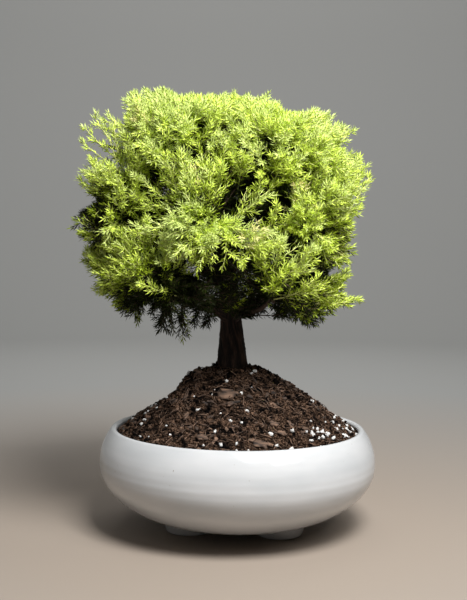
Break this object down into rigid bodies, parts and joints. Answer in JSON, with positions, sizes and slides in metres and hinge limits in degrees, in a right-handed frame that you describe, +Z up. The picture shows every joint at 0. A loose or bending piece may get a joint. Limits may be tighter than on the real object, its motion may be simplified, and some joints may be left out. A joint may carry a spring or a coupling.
{
  "type": "conifer bonsai in bowl",
  "caption": "Bushy dwarf conifer bonsai: dense lime-green needle crown on one upright trunk, rooted in a mound of potting soil in a white glazed in-curved bowl on low feet.",
  "frame": {"origin": "on the table, under the middle of the whole plant's box", "axes": "+Z up, -Y towards the side that the picture shows, +X to its right"},
  "size_m": [0.221, 0.2062, 0.3163],
  "materials": {
    "glaze": "glossy white glaze",
    "soil": "moist crumbly potting mix",
    "bark": "fibrous ridged bark",
    "foliage": "soft young needles"
  },
  "bodies": {
    "root": {"bough_left_tip": "bark", "bough_low_1": "bark", "bough_low_2": "bark", "bough_low_3": "bark", "bough_low_4": "bark", "bough_low_5": "bark", "bough_middle_1": "bark", "bough_middle_2": "bark", "bough_middle_3": "bark", "bough_middle_4": "bark", "bough_middle_5": "bark", "bough_middle_6": "bark", "bough_upper_1": "bark", "bough_upper_2": "bark", "bough_upper_3": "bark", "bough_upper_4": "bark", "bough_upper_5": "bark", "bowl": "glaze", "foliage_left_tip": "foliage", "foliage_low_1": "foliage", "foliage_low_2": "foliage", "foliage_low_3": "foliage", "foliage_low_4": "foliage", "foliage_low_5": "foliage", "foliage_middle_1": "foliage", "foliage_middle_2": "foliage", "foliage_middle_3": "foliage", "foliage_middle_4": "foliage", "foliage_middle_5": "foliage", "foliage_middle_6": "foliage", "foliage_top": "foliage", "foliage_upper_1": "foliage", "foliage_upper_2": "foliage", "foliage_upper_3": "foliage", "foliage_upper_4": "foliage", "foliage_upper_5": "foliage", "foot_back": "glaze", "foot_front_left": "glaze", "foot_front_right": "glaze", "soil": "soil", "trunk": "bark"}
  },
  "joints": []
}
